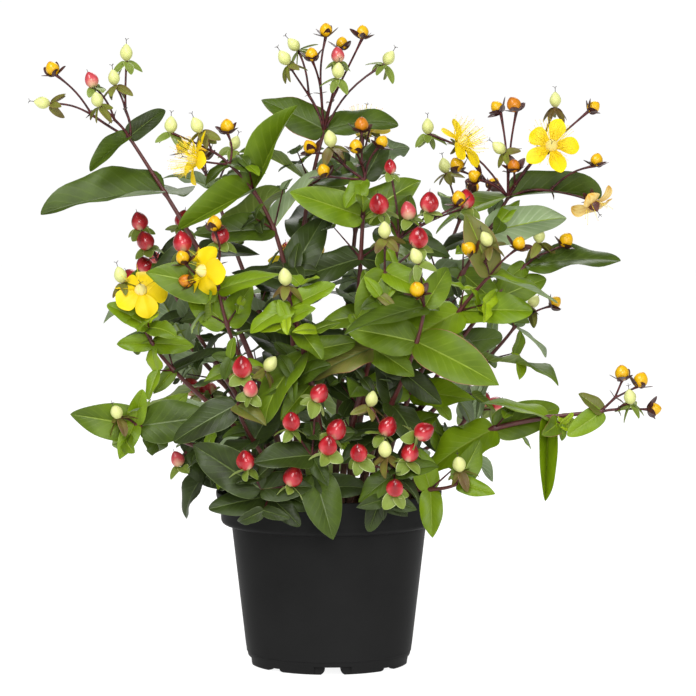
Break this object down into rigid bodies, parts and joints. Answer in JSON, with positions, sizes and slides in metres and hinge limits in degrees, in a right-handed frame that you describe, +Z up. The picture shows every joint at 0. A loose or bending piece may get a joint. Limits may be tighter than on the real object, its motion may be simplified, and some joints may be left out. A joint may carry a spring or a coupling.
{
  "type": "potted tutsan",
  "caption": "Bushy berrying shrub in a round nursery pot: slender leafy stems topped by trusses of yellow buds and flowers, pale capsules and red berries.",
  "frame": {"origin": "middle of the pot's flat underside, at the level that the pot stands on", "axes": "+Z up along the pot's axis, -Y towards the viewer of the picture, +X to the right"},
  "size_m": [0.4135, 0.3039, 0.4257],
  "materials": {
    "pot": "satin black moulded plastic",
    "potting_mix": "moist dark brown fibrous mix",
    "stems": "smooth maroon brown bark",
    "leaves": "satin green leaves, with red berries and yellow flowers"
  },
  "bodies": {
    "root": {"pot": "pot", "potting_mix": "potting_mix", "stem_far_left": "stems", "stem_left_flowering": "stems", "stem_top_centre": "stems", "stem_centre_buds": "stems", "stem_centre_red": "stems", "stem_right_flowering": "stems", "stem_right_mid": "stems", "stem_right_side": "stems", "stem_far_right_low": "stems", "stem_lower_left": "stems", "stem_left_flower": "stems", "stem_left_middle": "stems", "stem_left_red": "stems", "stem_centre_capsule_left": "stems", "stem_centre_capsule_right": "stems", "stem_centre_capsule_far": "stems", "stem_back_left_high": "stems", "stem_back_high": "stems", "stem_back_right_high": "stems", "stem_back_left": "stems", "stem_back_mid": "stems", "stem_back_right": "stems", "foliage_far_left": "leaves", "foliage_left_flowering": "leaves", "foliage_top_centre": "leaves", "foliage_centre_buds": "leaves", "foliage_centre_red": "leaves", "foliage_right_flowering": "leaves", "foliage_right_mid": "leaves", "foliage_right_side": "leaves", "foliage_far_right_low": "leaves", "foliage_lower_left": "leaves", "foliage_left_flower": "leaves", "foliage_left_middle": "leaves", "foliage_left_red": "leaves", "foliage_centre_capsule_left": "leaves", "foliage_centre_capsule_right": "leaves", "foliage_centre_capsule_far": "leaves", "foliage_front_berries_left": "leaves", "foliage_front_berries_centre": "leaves", "foliage_front_berries_low": "leaves", "foliage_front_berries_right": "leaves", "foliage_low_right": "leaves", "foliage_low_left": "leaves", "foliage_back_left_high": "leaves", "foliage_back_high": "leaves", "foliage_back_right_high": "leaves", "foliage_back_left": "leaves", "foliage_back_mid": "leaves", "foliage_back_right": "leaves", "foliage_back_low_left": "leaves", "foliage_back_low": "leaves", "foliage_back_low_right": "leaves"}
  },
  "joints": []
}
